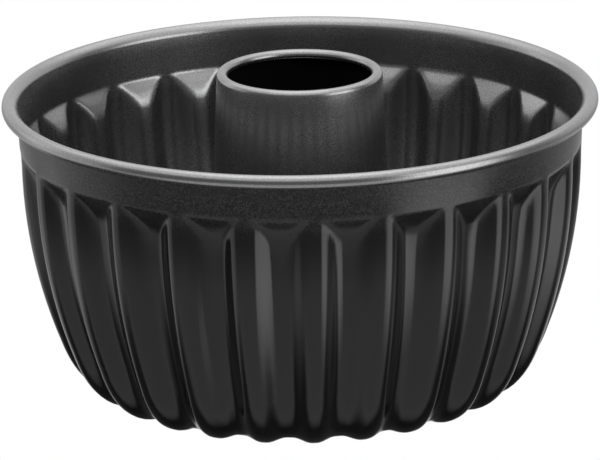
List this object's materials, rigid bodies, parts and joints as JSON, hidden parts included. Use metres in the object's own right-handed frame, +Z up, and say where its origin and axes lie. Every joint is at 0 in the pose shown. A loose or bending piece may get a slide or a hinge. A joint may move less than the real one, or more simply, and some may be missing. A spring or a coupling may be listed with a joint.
{
  "type": "bundt pan",
  "caption": "Deep ring cake pan with a fluted wall that stands on its lobes, a rolled wired rim and a tapered open centre tube.",
  "frame": {"origin": "centre of the ring of feet, on the plane that the pan stands on", "axes": "+Z up along the pan's axis, -Y towards the side seen in the front view"},
  "size_m": [0.22, 0.22, 0.1201],
  "materials": {
    "coated_shell_steel": "gloss black lacquer outside, satin speckled dark grey non-stick inside and over the rolled rim",
    "rim_wire_steel": "bright drawn wire",
    "coated_tube_steel": "satin speckled dark grey non-stick"
  },
  "bodies": {
    "root": {"fluted_shell": "coated_shell_steel", "rim_wire": "rim_wire_steel", "centre_tube": "coated_tube_steel"}
  },
  "joints": []
}
